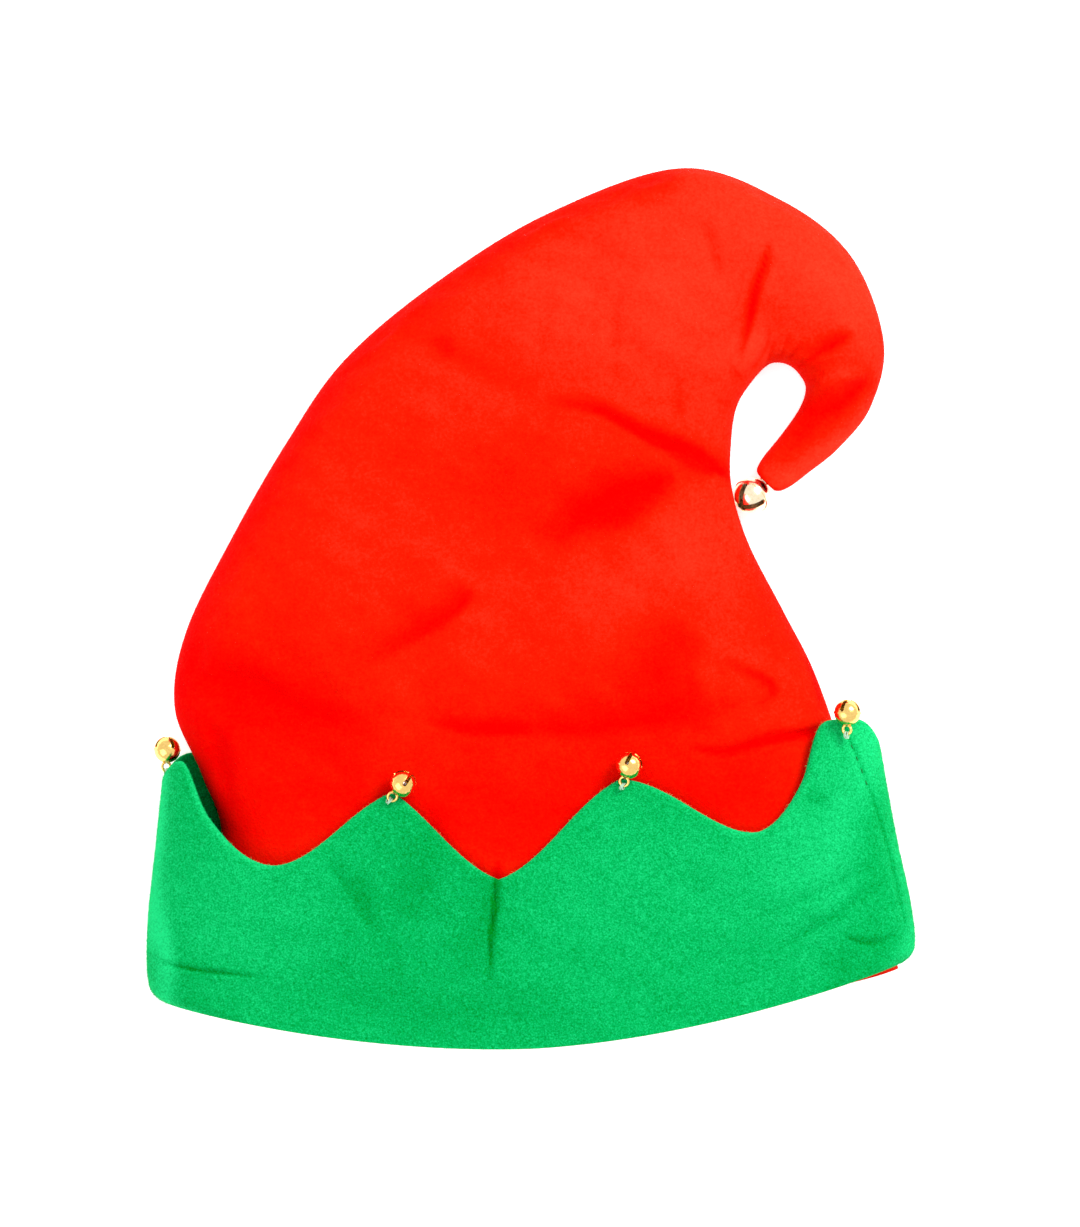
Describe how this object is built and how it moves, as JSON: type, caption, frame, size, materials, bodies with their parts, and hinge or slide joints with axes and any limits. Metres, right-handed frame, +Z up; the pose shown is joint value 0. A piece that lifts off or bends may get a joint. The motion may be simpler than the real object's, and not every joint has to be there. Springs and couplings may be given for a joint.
{
  "type": "elf hat",
  "caption": "Soft plush elf hat lying flat, with a curled tip, a turned-up zigzag cuff and jingle bells on the points and at the tip.",
  "frame": {"origin": "on the surface the hat lies on, under the middle of its box", "axes": "+X across the hat towards the side the tip curls to, +Y from the rim to the top of the crown, +Z up out of the upper panel"},
  "size_m": [0.2908, 0.3328, 0.041],
  "materials": {
    "red_plush": "short-pile plush",
    "green_plush": "short-pile plush, thicker",
    "brass": "polished brass plate",
    "steel": "plain steel ball"
  },
  "bodies": {
    "root": {"crown_front": "red_plush", "crown_back": "red_plush", "cuff": "green_plush", "point_bell_1": "brass", "point_bell_2": "brass", "point_bell_3": "brass", "point_bell_4": "brass", "point_bell_5": "brass", "point_bell_6": "brass", "tip_bell": "brass", "bell_ball_1": "steel", "bell_ball_2": "steel", "bell_ball_3": "steel", "bell_ball_4": "steel", "bell_ball_5": "steel", "bell_ball_6": "steel", "tip_bell_ball": "steel"}
  },
  "joints": []
}
